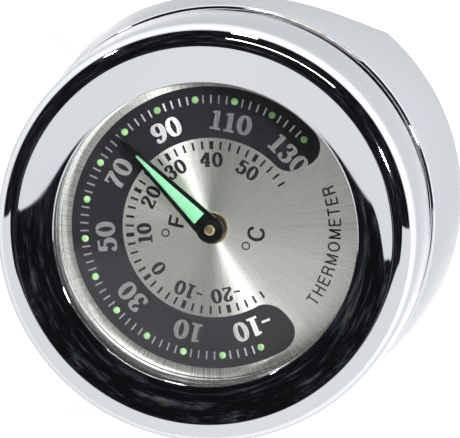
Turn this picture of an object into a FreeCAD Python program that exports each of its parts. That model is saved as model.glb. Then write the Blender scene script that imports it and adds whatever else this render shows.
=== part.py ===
import FreeCAD, Part
import Sketcher
import math
import os

# Clamp-on dial thermometer for a round bar of one inch.
# Frame: the origin is the centre of the bar clamp, +X runs along the bar and
# +Z is the normal of the dial, from the bar towards the reader.

# Driving dimensions in millimetres, angles in degrees: alias, value, meaning.
# Heights named *_z are measured from the bar's axis, the cap's *_rise from its rear land.
DIMENSIONS = [
    ("bar_radius", 12.7, "handlebar that the clamp holds"),
    ("liner_outer_radius", 13.68, "outside of the rubber liners"),
    ("saddle_radius", 13.7, "half-round saddles in the housing and the cap"),
    ("liner_length", 24.0, "length of the liners along the bar"),
    ("tool_length", 60.0, "length of the cylinders that cut right through"),
    ("rim_radius", 19.9, "housing at its rear rim"),
    ("rim_z", 4.35, "rear rim of the housing"),
    ("rim_round", 0.5, "rounding of the rear rim"),
    ("housing_side_arc", 220.0, "long curve of the housing's side"),
    ("shoulder_radius", 19.0, "housing at its front shoulder"),
    ("shoulder_z", 19.15, "where the front rounding of the housing starts"),
    ("shoulder_round", 0.3, "front edge of the housing, beside the groove"),
    ("neck_radius", 17.2, "neck that the bezel screws on to"),
    ("neck_z", 25.6, "front end of the neck"),
    ("cavity_radius", 15.3, "well for the instrument"),
    ("cavity_z", 15.2, "floor of the well"),
    ("seal_ring_radius", 16.75, "centre line of the bezel's O-ring"),
    ("seal_cord_radius", 0.45, "half thickness of the bezel's O-ring"),
    ("seal_z", 23.9, "height of the bezel's O-ring"),
    ("seal_groove_radius", 16.28, "bottom of the O-ring groove"),
    ("seal_groove_half", 0.55, "half width of the O-ring groove"),
    ("skirt_radius", 17.25, "inside of the bezel's skirt"),
    ("bezel_edge_radius", 18.85, "bezel at its rear edge"),
    ("bezel_rear_z", 21.8, "rear face of the bezel"),
    ("bezel_edge_round", 0.3, "rear edge of the bezel, beside the groove"),
    ("nose_radius", 1.9, "bull nose of the bezel"),
    ("nose_centre_radius", 16.6, "centre circle of the bull nose"),
    ("nose_z", 28.7, "height of the bull nose's centre"),
    ("nose_start_radius", 18.497, "where the side runs into the bull nose"),
    ("nose_start_z", 28.809, "height of that place"),
    ("crease_radius", 16.35, "crease between nose and dish"),
    ("crease_z", 30.5, "height of the crease"),
    ("dish_arc_radius", 9.22, "hollow curve of the dish"),
    ("lip_radius", 13.38, "inner lip of the bezel"),
    ("lip_front_z", 29.85, "front of the lip"),
    ("lip_rear_z", 29.35, "back of the lip"),
    ("lens_pocket_radius", 14.75, "pocket for the lens"),
    ("case_pocket_radius", 15.2, "pocket for the front of the can"),
    ("case_pocket_z", 27.75, "step between the two pockets"),
    ("skirt_step_z", 25.8, "step above the housing's neck"),
    ("lens_radius", 14.6, "glass lens"),
    ("lens_rear_z", 27.65, "back of the lens"),
    ("lens_front_z", 29.05, "front of the lens"),
    ("lens_bevel", 0.25, "bevel of the lens edge"),
    ("dial_z", 25.1, "printed face of the dial"),
    ("dial_rear_z", 24.7, "back of the dial"),
    ("dial_radius", 14.2, "dial plate"),
    ("dial_hole_radius", 1.35, "hole in the middle of the dial"),
    ("rehaut_radius", 13.2, "foot of the dial's surround"),
    ("rehaut_top_radius", 13.45, "top of the dial's surround"),
    ("rehaut_outer_radius", 14.25, "outside of the dial's surround"),
    ("can_radius", 15.0, "outside of the instrument can"),
    ("can_inner_radius", 14.3, "inside of the instrument can"),
    ("can_rear_z", 15.8, "back of the can"),
    ("can_floor_z", 16.6, "floor of the can"),
    ("can_groove_radius", 14.55, "groove round the can"),
    ("ring_radius", 14.92, "centre line of the can's O-ring"),
    ("ring_cord_radius", 0.36, "half thickness of the can's O-ring"),
    ("ring_z", 20.6, "height of the can's O-ring"),
    ("ring_groove_half", 0.45, "half width of the can's groove"),
    ("spacer_inner_radius", 13.3, "inside of the spacer under the dial"),
    ("plate_radius", 13.2, "movement plate"),
    ("plate_rear_z", 22.6, "back of the movement plate"),
    ("plate_front_z", 23.4, "front of the movement plate"),
    ("pillar_radius", 1.1, "pillars of the movement"),
    ("pillar_circle", 11.0, "circle that the pillars stand on"),
    ("screw_core_radius", 0.5, "shank of the movement screws"),
    ("screw_hole_radius", 0.52, "holes for the movement screws"),
    ("screw_tip_z", 20.4, "tip of the movement screws"),
    ("screw_hole_z", 20.2, "bottom of the holes in the pillars"),
    ("screw_head_radius", 0.95, "head of the movement screws"),
    ("screw_head_z", 24.1, "top of the movement screws"),
    ("screw_slot_width", 0.28, "slot in a movement screw"),
    ("screw_slot_z", 23.8, "bottom of that slot"),
    ("bush_bore_radius", 0.53, "running bore of both bushes"),
    ("front_bush_radius", 1.3, "front bush in the movement plate"),
    ("front_bush_nose_radius", 1.42, "flange of the front bush above the dial"),
    ("front_bush_z", 25.45, "front face of the front bush"),
    ("rear_bush_radius", 1.2, "rear bush in the can"),
    ("rear_bush_flange_radius", 1.9, "flange of the rear bush"),
    ("rear_bush_flange_z", 17.1, "front of that flange"),
    ("rear_bush_z", 17.7, "front of the rear bush"),
    ("rear_bush_floor_z", 16.3, "blind end of the rear bush"),
    ("spindle_radius", 0.5, "pointer spindle"),
    ("spindle_rear_z", 16.34, "rear tip of the spindle"),
    ("spindle_front_z", 26.75, "front tip of the spindle"),
    ("spindle_dome", 0.18, "rounded tips of the spindle"),
    ("collet_radius", 1.6, "coil collet on the spindle"),
    ("collet_rear_z", 18.4, "back of the coil collet"),
    ("collet_front_z", 21.8, "front of the coil collet"),
    ("coil_rear_z", 18.6, "back edge of the bimetal strip"),
    ("coil_front_z", 21.6, "front edge of the bimetal strip"),
    ("coil_inner_radius", 1.75, "inner end of the strip"),
    ("coil_outer_radius", 8.6, "outer end of the strip"),
    ("coil_thickness", 0.3, "thickness of the strip"),
    ("coil_turns", 6.0, "turns of the strip"),
    ("anchor_width", 1.4, "post that holds the outer end of the strip"),
    ("anchor_depth", 1.2, "depth of that post"),
    ("anchor_gap", 0.17, "from the strip's centre line to the post"),
    ("pad_radius", 14.0, "foam pad behind the can"),
    ("pad_hole_radius", 4.0, "hole in the foam pad"),
    ("pointer_rear_z", 26.05, "back of the pointer"),
    ("pointer_front_z", 26.3, "front of the pointer"),
    ("pointer_shoulder", 9.9, "axis to where the blade runs to a point"),
    ("pointer_length", 11.6, "axis to the pointer's tip"),
    ("pointer_hub_radius", 1.22, "round boss of the pointer"),
    ("pointer_hub_rise", 0.12, "boss above the pointer's blade"),
    ("pointer_root_half", 1.15, "half width of the blade at the axis"),
    ("pointer_shoulder_half", 0.32, "half width of the blade there"),
    ("lume_start", 1.37, "axis to the luminous insert"),
    ("lume_end", 9.15, "axis to the insert's point"),
    ("lume_root_half", 0.63, "half width of the insert at its root"),
    ("lume_end_half", 0.08, "half width of the insert at its point"),
    ("lume_rear_z", 26.1, "back of the insert"),
    ("lume_front_z", 26.34, "front of the insert"),
    ("lume_gap", 0.02, "play round the insert"),
    ("sleeve_radius", 0.8, "pointer collet"),
    ("sleeve_rear_z", 25.6, "back of the pointer collet"),
    ("sleeve_front_z", 26.5, "front of the pointer collet"),
    ("sleeve_bore_radius", 0.505, "press bore of the pointer's collet"),
    ("rest_temperature", 78.5, "reading at rest, in degrees Fahrenheit"),
    ("middle_temperature", 60.0, "reading at twelve o'clock"),
    ("degrees_per_ten", 17.7, "pointer angle for ten degrees Fahrenheit"),
    ("dial_turn", 11.7, "twelve o'clock, clockwise from the bar's left side"),
    ("cap_depth", 17.1, "bar's axis to the rear land"),
    ("cap_height", 20.45, "clamp cap from land to top"),
    ("cap_top_radius", 19.2, "clamp cap at its top"),
    ("cap_side_radius", 17.1, "clamp cap half way down"),
    ("cap_side_rise", 10.6, "height of that half way circle"),
    ("cap_low_radius", 14.3, "where the rounding to the land starts"),
    ("cap_low_rise", 1.7, "height of that circle"),
    ("cap_land_radius", 12.6, "flat rear land"),
    ("cap_land_round", 1.7, "rounding to the land"),
    ("clamp_screw_offset", 16.5, "clamp screws, from the bar's axis"),
    ("clamp_screw_radius", 1.25, "clamp screw shank"),
    ("clamp_screw_hole_radius", 1.3, "threaded hole in the housing"),
    ("clamp_screw_hole_top_z", 12.6, "blind end of the threaded hole"),
    ("clamp_screw_tip_z", 11.35, "tip of the clamp screws"),
    ("clamp_pass_radius", 1.45, "plain hole in the cap"),
    ("seat_z", 1.35, "seat of the spring washers"),
    ("washer_thickness", 0.6, "spring washer"),
    ("washer_radius", 2.2, "outside of the spring washer"),
    ("washer_bore_radius", 1.4, "inside of the spring washer"),
    ("washer_split", 0.35, "split of the spring washer"),
    ("head_radius", 2.25, "clamp screw head"),
    ("head_height", 2.5, "height of the clamp screw head"),
    ("head_bevel", 0.25, "bevel of the clamp screw head"),
    ("socket_radius", 1.15, "hexagon socket, centre to corner"),
    ("socket_depth", 1.3, "depth of the hexagon socket"),
    ("counterbore_radius", 2.4, "pocket round a clamp screw head"),
]
SIZES = {alias: value for alias, value, meaning in DIMENSIONS}

PILLAR_COUNT = 3
PILLAR_START_ANGLE = 30.0
COIL_POINTS_PER_TURN = 24

doc = FreeCAD.newDocument("DialThermometer")
sheet = doc.addObject("Spreadsheet::Sheet", "Dims")
for row, (alias, value, meaning) in enumerate(DIMENSIONS, start=1):
    sheet.set("A%d" % row, meaning)
    sheet.set("B%d" % row, str(value))
    sheet.setAlias("B%d" % row, alias)
doc.recompute()

PARTS = []


def amount(length):
    """Value of a length written as sheet names joined by + and -."""
    result = 0.0
    sign = 1.0
    for word in length.split():
        if word in ("+", "-"):
            sign = 1.0 if word == "+" else -1.0
        else:
            result += sign * SIZES[word]
    return result


def formula(length):
    """The same length as an expression on the sheet's cells."""
    words = [word if word in ("+", "-") else "Dims." + word for word in length.split()]
    return " ".join(words)


def opposite(length):
    """The same length with its sign turned."""
    flipped = ["-" if word == "+" else "+" if word == "-" else word
               for word in ("+ " + length).split()]
    return " ".join(flipped)


def bind(item, prop, length):
    item.setExpression(prop, formula(length))


def finish_part(item, node):
    item.Label = node
    PARTS.append(item)
    return item


def origin_plane(body, role):
    for feature in body.Origin.OriginFeatures:
        if feature.Role == role:
            return feature
    raise RuntimeError("no origin plane " + role)


def pin_point(sketch, edge, end, across, up):
    """Tie one end of an edge to its place; "axis" and "base" are the sketch's own lines."""
    if across == "axis":
        sketch.addConstraint(Sketcher.Constraint("PointOnObject", edge, end, -2))
    else:
        index = sketch.addConstraint(
            Sketcher.Constraint("DistanceX", -1, 1, edge, end, amount(across)))
        sketch.setExpression("Constraints[%d]" % index, formula(across))
    if up == "base":
        sketch.addConstraint(Sketcher.Constraint("PointOnObject", edge, end, -1))
    else:
        index = sketch.addConstraint(
            Sketcher.Constraint("DistanceY", -1, 1, edge, end, amount(up)))
        sketch.setExpression("Constraints[%d]" % index, formula(up))


def corner(across, up):
    x = 0.0 if across == "axis" else amount(across)
    y = 0.0 if up == "base" else amount(up)
    return FreeCAD.Vector(x, y, 0)


def arc_edge(start, end, radius, bulges_right):
    """Arc between two corners, drawn anticlockwise as sketches keep it."""
    chord = end - start
    half = chord.Length / 2
    left = FreeCAD.Vector(-chord.y, chord.x, 0).normalize()
    height = math.sqrt(max(radius * radius - half * half, 0.0))
    centre = (start + end) * 0.5 + left * (height if bulges_right else -height)
    first, last = (start, end) if bulges_right else (end, start)
    low = math.atan2(first.y - centre.y, first.x - centre.x)
    high = math.atan2(last.y - centre.y, last.x - centre.x)
    if high < low:
        high += 2 * math.pi
    circle = Part.Circle(centre, FreeCAD.Vector(0, 0, 1), radius)
    return Part.ArcOfCircle(circle, low, high)


def draw_outline(sketch, outline):
    """Closed outline of (across, up, arc): the arc to the next corner is a radius or None.

    An arc bulges to the right of the path, or to its left if its radius is written with "-".
    """
    count = len(outline)
    ends = []
    for number, (across, up, arc) in enumerate(outline):
        start = corner(across, up)
        end = corner(*outline[(number + 1) % count][:2])
        if arc is None:
            sketch.addGeometry(Part.LineSegment(start, end), False)
            ends.append((1, 2))
            continue
        bulges_right = not arc.startswith("-")
        radius = amount(arc.lstrip("-"))
        sketch.addGeometry(arc_edge(start, end, radius, bulges_right), False)
        ends.append((1, 2) if bulges_right else (2, 1))
    for number, (across, up, arc) in enumerate(outline):
        pin_point(sketch, number, ends[number][0], across, up)
    for number, (across, up, arc) in enumerate(outline):
        following = (number + 1) % count
        sketch.addConstraint(Sketcher.Constraint(
            "Coincident", number, ends[number][1], following, ends[following][0]))
        if arc is not None:
            radius = arc.lstrip("-")
            index = sketch.addConstraint(
                Sketcher.Constraint("Radius", number, amount(radius)))
            sketch.setExpression("Constraints[%d]" % index, formula(radius))


def sketch_on(body, name, role):
    sketch = body.newObject("Sketcher::SketchObject", name)
    sketch.AttachmentSupport = (origin_plane(body, role), [""])
    sketch.MapMode = "FlatFace"
    return sketch


def turned(name, outline):
    """Body of revolution about Z from an outline of (radius, height, arc)."""
    body = doc.addObject("PartDesign::Body", name)
    sketch = sketch_on(body, name + "_profile", "XZ_Plane")
    draw_outline(sketch, outline)
    turn = body.newObject("PartDesign::Revolution", name + "_turn")
    turn.Profile = sketch
    turn.ReferenceAxis = (sketch, ["V_Axis"])
    turn.Angle = 360.0
    body.Tip = turn
    return body


def ring(name, inner, outer, low, high):
    return turned(name, [(inner, low, None), (outer, low, None),
                         (outer, high, None), (inner, high, None)])


def cylinder(name, radius, height, base=None, side=None):
    """Upright cylinder; base and side are lengths for its place along Z and Y."""
    item = doc.addObject("Part::Cylinder", name)
    bind(item, "Radius", radius)
    bind(item, "Height", height)
    if base is not None:
        bind(item, "Placement.Base.z", base)
    if side is not None:
        bind(item, "Placement.Base.y", side)
    return item


def bar_cylinder(name, radius, length):
    """Cylinder along the bar, centred on the origin."""
    item = doc.addObject("Part::Cylinder", name)
    item.Placement = FreeCAD.Placement(
        FreeCAD.Vector(-amount(length) / 2, 0, 0),
        FreeCAD.Rotation(FreeCAD.Vector(0, 1, 0), 90))
    bind(item, "Radius", radius)
    bind(item, "Height", length)
    item.setExpression("Placement.Base.x", "-(%s) / 2" % formula(length))
    return item


def box(name, length, width, height):
    """Box centred on X and Y; its height starts at its own base."""
    item = doc.addObject("Part::Box", name)
    bind(item, "Length", length)
    bind(item, "Width", width)
    bind(item, "Height", height)
    item.setExpression("Placement.Base.x", "-(%s) / 2" % formula(length))
    item.setExpression("Placement.Base.y", "-(%s) / 2" % formula(width))
    return item


def join(name, pieces):
    item = doc.addObject("Part::MultiFuse", name)
    item.Shapes = pieces
    return item


def cut(name, base, tools):
    item = doc.addObject("Part::Cut", name)
    item.Base = base
    item.Tool = tools[0] if len(tools) == 1 else join(name + "_tools", tools)
    return item


def spread(name, item_maker, count):
    """Copies made by item_maker(number) grouped into one compound."""
    group = doc.addObject("Part::Compound", name)
    group.Links = [item_maker(number) for number in range(count)]
    return group


def pillar_place(number):
    """Expressions for the middle of one pillar of the movement."""
    angle = PILLAR_START_ANGLE + number * 360.0 / PILLAR_COUNT
    return ("Dims.pillar_circle * cos(%g deg)" % angle,
            "Dims.pillar_circle * sin(%g deg)" % angle)


def at_pillar(item, number):
    across, along = pillar_place(number)
    item.setExpression("Placement.Base.x", across)
    item.setExpression("Placement.Base.y", along)
    return item


# ---------------------------------------------------------------- housing and bezel

def make_housing():
    shell = turned("housing_shell", [
        ("cavity_radius", "cavity_z", None),
        ("cavity_radius", "neck_z", None),
        ("neck_radius", "neck_z", None),
        ("neck_radius", "seal_z + seal_groove_half", None),
        ("seal_groove_radius", "seal_z + seal_groove_half", None),
        ("seal_groove_radius", "seal_z - seal_groove_half", None),
        ("neck_radius", "seal_z - seal_groove_half", None),
        ("neck_radius", "shoulder_z + shoulder_round", None),
        ("shoulder_radius - shoulder_round", "shoulder_z + shoulder_round", "-shoulder_round"),
        ("shoulder_radius", "shoulder_z", "-housing_side_arc"),
        ("rim_radius", "rim_z + rim_round", "-rim_round"),
        ("rim_radius - rim_round", "rim_z", None),
        ("axis", "rim_z", None),
        ("axis", "cavity_z", None),
    ])
    saddle = bar_cylinder("housing_saddle", "saddle_radius", "tool_length")
    holes = [cylinder("housing_hole_%s" % side, "clamp_screw_hole_radius",
                      "clamp_screw_hole_top_z", None, place)
             for side, place in (("left", "clamp_screw_offset"),
                                 ("right", "- clamp_screw_offset"))]
    finish_part(cut("housing", shell, [saddle] + holes), "housing")


def make_bezel():
    finish_part(turned("bezel_ring", [
        ("skirt_radius", "bezel_rear_z", None),
        ("bezel_edge_radius - bezel_edge_round", "bezel_rear_z", "bezel_edge_round"),
        ("bezel_edge_radius", "bezel_rear_z + bezel_edge_round", None),
        ("nose_start_radius", "nose_start_z", "nose_radius"),
        ("nose_centre_radius", "nose_z + nose_radius", None),
        ("crease_radius", "crease_z", "-dish_arc_radius"),
        ("lip_radius", "lip_front_z", None),
        ("lip_radius", "lip_rear_z", None),
        ("lens_pocket_radius", "lip_rear_z", None),
        ("lens_pocket_radius", "case_pocket_z", None),
        ("case_pocket_radius", "case_pocket_z", None),
        ("case_pocket_radius", "skirt_step_z", None),
        ("skirt_radius", "skirt_step_z", None),
    ]), "bezel_ring")


def torus(node, radius, cord_radius, height):
    item = doc.addObject("Part::Torus", node)
    bind(item, "Radius1", radius)
    bind(item, "Radius2", cord_radius)
    bind(item, "Placement.Base.z", height)
    finish_part(item, node)


# ---------------------------------------------------------------- instrument

def make_lens():
    finish_part(turned("lens", [
        ("axis", "lens_rear_z", None),
        ("lens_radius", "lens_rear_z", None),
        ("lens_radius", "lens_front_z - lens_bevel", None),
        ("lens_radius - lens_bevel", "lens_front_z", None),
        ("axis", "lens_front_z", None),
    ]), "lens")
    finish_part(ring("lens_gasket", "lip_radius + lens_bevel", "lens_radius",
                     "lens_front_z", "lip_rear_z"), "lens_gasket")


def make_can():
    can = turned("instrument_can", [
        ("rear_bush_radius", "can_rear_z", None),
        ("can_radius", "can_rear_z", None),
        ("can_radius", "ring_z - ring_groove_half", None),
        ("can_groove_radius", "ring_z - ring_groove_half", None),
        ("can_groove_radius", "ring_z + ring_groove_half", None),
        ("can_radius", "ring_z + ring_groove_half", None),
        ("can_radius", "lens_rear_z", None),
        ("can_inner_radius", "lens_rear_z", None),
        ("can_inner_radius", "can_floor_z", None),
        ("rear_bush_radius", "can_floor_z", None),
    ])
    finish_part(can, "instrument_can")
    finish_part(ring("back_pad", "pad_hole_radius", "pad_radius",
                     "cavity_z", "can_rear_z"), "back_pad")


def make_dial():
    finish_part(ring("dial_plate", "dial_hole_radius", "dial_radius",
                     "dial_rear_z", "dial_z"), "dial_plate")
    finish_part(turned("rehaut_ring", [
        ("rehaut_radius", "dial_z", None),
        ("rehaut_outer_radius", "dial_z", None),
        ("rehaut_outer_radius", "lens_rear_z", None),
        ("rehaut_top_radius", "lens_rear_z", None),
    ]), "rehaut_ring")
    finish_part(ring("dial_spacer", "spacer_inner_radius", "rehaut_outer_radius",
                     "can_floor_z", "dial_rear_z"), "dial_spacer")


def make_movement():
    plate = ring("movement_plate_disc", "front_bush_radius", "plate_radius",
                 "plate_rear_z", "plate_front_z")
    plate_holes = [at_pillar(cylinder("plate_hole_%d" % number, "screw_hole_radius",
                                      "tool_length"), number)
                   for number in range(PILLAR_COUNT)]
    finish_part(cut("movement_plate", plate, plate_holes), "movement_plate")

    def pillar(number):
        post = at_pillar(cylinder("pillar_post_%d" % number, "pillar_radius",
                                  "plate_rear_z - can_floor_z", "can_floor_z"), number)
        hole = at_pillar(cylinder("pillar_hole_%d" % number, "screw_hole_radius",
                                  "plate_rear_z - screw_hole_z", "screw_hole_z"), number)
        return cut("pillar_%d" % number, post, [hole])

    finish_part(spread("movement_pillars", pillar, PILLAR_COUNT), "movement_pillars")

    def screw(number):
        shank = at_pillar(cylinder("movement_shank_%d" % number, "screw_core_radius",
                                   "screw_head_z - screw_tip_z", "screw_tip_z"), number)
        head = at_pillar(cylinder("movement_head_%d" % number, "screw_head_radius",
                                  "screw_head_z - plate_front_z", "plate_front_z"), number)
        slot = box("movement_slot_%d" % number, "screw_head_radius + screw_head_radius",
                   "screw_slot_width", "screw_head_z - screw_slot_z")
        across, along = pillar_place(number)
        slot.setExpression("Placement.Base.x", across + " - Dims.screw_head_radius")
        slot.setExpression("Placement.Base.y", along + " - Dims.screw_slot_width / 2")
        bind(slot, "Placement.Base.z", "screw_slot_z")
        solid = join("movement_screw_solid_%d" % number, [shank, head])
        return cut("movement_screw_%d" % number, solid, [slot])

    finish_part(spread("movement_screws", screw, PILLAR_COUNT), "movement_screws")


def make_bushes():
    finish_part(turned("front_bush", [
        ("bush_bore_radius", "plate_rear_z", None),
        ("front_bush_radius", "plate_rear_z", None),
        ("front_bush_radius", "dial_z", None),
        ("front_bush_nose_radius", "dial_z", None),
        ("front_bush_nose_radius", "front_bush_z", None),
        ("bush_bore_radius", "front_bush_z", None),
    ]), "front_bush")
    finish_part(turned("rear_bush", [
        ("axis", "can_rear_z", None),
        ("rear_bush_radius", "can_rear_z", None),
        ("rear_bush_radius", "can_floor_z", None),
        ("rear_bush_flange_radius", "can_floor_z", None),
        ("rear_bush_flange_radius", "rear_bush_flange_z", None),
        ("rear_bush_radius", "rear_bush_z", None),
        ("bush_bore_radius", "rear_bush_z", None),
        ("bush_bore_radius", "rear_bush_floor_z", None),
        ("axis", "rear_bush_floor_z", None),
    ]), "rear_bush")


def make_spindle():
    finish_part(turned("spindle", [
        ("axis", "spindle_rear_z", None),
        ("spindle_radius - spindle_dome", "spindle_rear_z", "spindle_dome"),
        ("spindle_radius", "spindle_rear_z + spindle_dome", None),
        ("spindle_radius", "spindle_front_z - spindle_dome", "spindle_dome"),
        ("spindle_radius - spindle_dome", "spindle_front_z", None),
        ("axis", "spindle_front_z", None),
    ]), "spindle")
    finish_part(ring("coil_collet", "sleeve_bore_radius", "collet_radius",
                     "collet_rear_z", "collet_front_z"), "coil_collet")


def make_coil():
    """Flat spiral of bimetal strip, an Archimedes spiral of even thickness."""
    turns = sheet.get("coil_turns")
    inner = sheet.get("coil_inner_radius") + sheet.get("coil_thickness") / 2
    outer = sheet.get("coil_outer_radius")
    steps = int(turns * COIL_POINTS_PER_TURN)

    def edge_curve(offset):
        points = []
        for step in range(steps + 1):
            part = step / steps
            radius = inner + (outer - inner) * part + offset
            angle = 2 * math.pi * turns * part
            points.append(FreeCAD.Vector(radius * math.cos(angle), radius * math.sin(angle),
                                         sheet.get("coil_rear_z")))
        curve = Part.BSplineCurve()
        curve.interpolate(points)
        return curve.toShape(), points[0], points[-1]

    half = sheet.get("coil_thickness") / 2
    low_edge, low_start, low_end = edge_curve(-half)
    high_edge, high_start, high_end = edge_curve(half)
    ends = [Part.LineSegment(low_end, high_end).toShape(),
            Part.LineSegment(high_start, low_start).toShape()]
    face = Part.Face(Part.Wire(Part.__sortEdges__([low_edge, high_edge] + ends)))
    height = sheet.get("coil_front_z") - sheet.get("coil_rear_z")
    coil = doc.addObject("Part::Feature", "bimetal_coil")
    coil.Shape = face.extrude(FreeCAD.Vector(0, 0, height))
    coil.Placement = FreeCAD.Placement()
    finish_part(coil, "bimetal_coil")

    post = box("coil_anchor", "anchor_depth", "anchor_width", "coil_front_z - can_floor_z")
    post.setExpression("Placement.Base.x", "Dims.coil_outer_radius + Dims.anchor_gap")
    bind(post, "Placement.Base.z", "can_floor_z")
    finish_part(post, "coil_anchor")


# ---------------------------------------------------------------- pointer

def blade(name, start, root_half, end, end_half, low, thickness, point=None):
    """Tapered plate along +X, pointed if it's told where."""
    body = doc.addObject("PartDesign::Body", name)
    sketch = sketch_on(body, name + "_outline", "XY_Plane")
    tip = [] if point is None else [(point, "base", None)]
    outline = ([(start, opposite(root_half), None), (end, opposite(end_half), None)] + tip
               + [(end, end_half, None), (start, root_half, None)])
    draw_outline(sketch, outline)
    pad = body.newObject("PartDesign::Pad", name + "_pad")
    pad.Profile = sketch
    bind(pad, "Length", thickness)
    body.Tip = pad
    bind(body, "Placement.Base.z", low)
    return body


def aim_pointer(item):
    """Turn an item that points along +X to the resting temperature."""
    item.setExpression(
        "Placement.Rotation.Angle",
        "90 deg - Dims.dial_turn * 1 deg - (Dims.rest_temperature"
        " - Dims.middle_temperature) / 10 * Dims.degrees_per_ten * 1 deg")


def make_pointer():
    plate = blade("pointer_blade", "axis", "pointer_root_half", "pointer_shoulder",
                  "pointer_shoulder_half", "pointer_rear_z", "pointer_front_z - pointer_rear_z",
                  "pointer_length")
    boss = cylinder("pointer_boss", "pointer_hub_radius",
                    "pointer_front_z + pointer_hub_rise - pointer_rear_z", "pointer_rear_z")
    window = blade("pointer_window", "lume_start - lume_gap", "lume_root_half + lume_gap",
                   "lume_end + lume_gap", "lume_end_half + lume_gap",
                   "pointer_rear_z - pointer_hub_rise",
                   "pointer_front_z - pointer_rear_z + pointer_hub_rise + pointer_hub_rise")
    bore = cylinder("pointer_bore", "sleeve_radius", "tool_length")
    pointer = cut("pointer", join("pointer_solid", [plate, boss]), [window, bore])
    aim_pointer(pointer)
    finish_part(pointer, "pointer")
    insert = blade("pointer_lume", "lume_start", "lume_root_half", "lume_end",
                   "lume_end_half", "lume_rear_z", "lume_front_z - lume_rear_z")
    aim_pointer(insert)
    finish_part(insert, "pointer_lume")
    finish_part(ring("pointer_collet", "sleeve_bore_radius", "sleeve_radius",
                     "sleeve_rear_z", "sleeve_front_z"), "pointer_collet")


# ---------------------------------------------------------------- bar clamp

def make_cap():
    dome = turned("cap_dome", [
        ("axis", "base", None),
        ("cap_land_radius", "base", "cap_land_round"),
        ("cap_low_radius", "cap_low_rise", None),
        ("cap_side_radius", "cap_side_rise", None),
        ("cap_top_radius", "cap_height", None),
        ("axis", "cap_height", None),
    ])
    bind(dome, "Placement.Base.z", "- cap_depth")
    groove = bar_cylinder("cap_saddle", "saddle_radius", "tool_length")
    slot = box("cap_slot", "tool_length", "saddle_radius + saddle_radius", "saddle_radius")
    tools = [groove, slot]
    for side, place in (("left", "clamp_screw_offset"), ("right", "- clamp_screw_offset")):
        tools.append(cylinder("cap_pass_" + side, "clamp_pass_radius", "saddle_radius",
                              None, place))
        tools.append(cylinder("cap_counterbore_" + side, "counterbore_radius",
                              "cap_depth + seat_z", "- cap_depth", place))
    finish_part(cut("clamp_cap", dome, tools), "clamp_cap")


def make_liner(node, keep_low, keep_height):
    outer = bar_cylinder(node + "_outer", "liner_outer_radius", "liner_length")
    inner = bar_cylinder(node + "_inner", "bar_radius", "tool_length")
    keep = box(node + "_keep", "tool_length", "tool_length", keep_height)
    bind(keep, "Placement.Base.z", keep_low)
    half = doc.addObject("Part::Common", node)
    half.Base = cut(node + "_tube", outer, [inner])
    half.Tool = keep
    finish_part(half, node)


def make_clamp_screw(side, place):
    shank = cylinder(side + "_shank", "clamp_screw_radius",
                     "clamp_screw_tip_z - seat_z + washer_thickness",
                     "seat_z - washer_thickness", place)
    head = turned(side + "_head", [
        ("axis", "base", None),
        ("head_radius - head_bevel", "base", None),
        ("head_radius", "head_bevel", None),
        ("head_radius", "head_height", None),
        ("axis", "head_height", None),
    ])
    bind(head, "Placement.Base.z", "seat_z - washer_thickness - head_height")
    bind(head, "Placement.Base.y", place)
    socket = doc.addObject("Part::Prism", side + "_socket")
    socket.Polygon = 6
    bind(socket, "Circumradius", "socket_radius")
    bind(socket, "Height", "socket_depth")
    bind(socket, "Placement.Base.z", "seat_z - washer_thickness - head_height")
    bind(socket, "Placement.Base.y", place)
    node = "clamp_screw_" + side
    solid = join(node + "_solid", [shank, head])
    finish_part(cut(node, solid, [socket]), node)


def make_washers():
    def washer(number):
        place = ("clamp_screw_offset", "- clamp_screw_offset")[number]
        disc = cylinder("washer_disc_%d" % number, "washer_radius", "washer_thickness",
                        "seat_z - washer_thickness", place)
        hole = cylinder("washer_hole_%d" % number, "washer_bore_radius", "saddle_radius",
                        None, place)
        split = box("washer_split_%d" % number, "washer_radius", "washer_split",
                    "saddle_radius")
        split.setExpression("Placement.Base.x", "0")
        split.setExpression("Placement.Base.y",
                            formula(place) + " - Dims.washer_split / 2")
        return cut("washer_%d" % number, disc, [hole, split])

    finish_part(spread("spring_washers", washer, 2), "spring_washers")


def build():
    make_bezel()
    torus("bezel_seal", "seal_ring_radius", "seal_cord_radius", "seal_z")
    make_lens()
    make_housing()
    make_can()
    torus("can_ring", "ring_radius", "ring_cord_radius", "ring_z")
    make_dial()
    make_movement()
    make_bushes()
    make_spindle()
    make_coil()
    make_pointer()
    make_cap()
    make_liner("front_bar_liner", "rim_z + rim_round", "saddle_radius")
    make_liner("rear_bar_liner", "- saddle_radius", "saddle_radius")
    make_clamp_screw("left", "clamp_screw_offset")
    make_clamp_screw("right", "- clamp_screw_offset")
    make_washers()


def check_and_write():
    doc.recompute()
    for item in doc.Objects:
        if "Invalid" in item.State or "Error" in item.State:
            raise RuntimeError("failed object: " + item.Label)
    for item in PARTS:
        if item.Shape.isNull() or not item.Shape.isValid():
            raise RuntimeError("bad shape: " + item.Label)
    os.makedirs("parts", exist_ok=True)
    for item in PARTS:
        item.Shape.exportStep("parts/%s.step" % item.Label)
        extent = item.Shape.BoundBox
        print("%-20s %d solid(s) %9.2f mm3  z %7.2f to %6.2f" % (
            item.Label, len(item.Shape.Solids), item.Shape.Volume, extent.ZMin, extent.ZMax))


build()
check_and_write()
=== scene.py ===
import math

import bpy
import bmesh
from mathutils import Matrix, Vector


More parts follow.
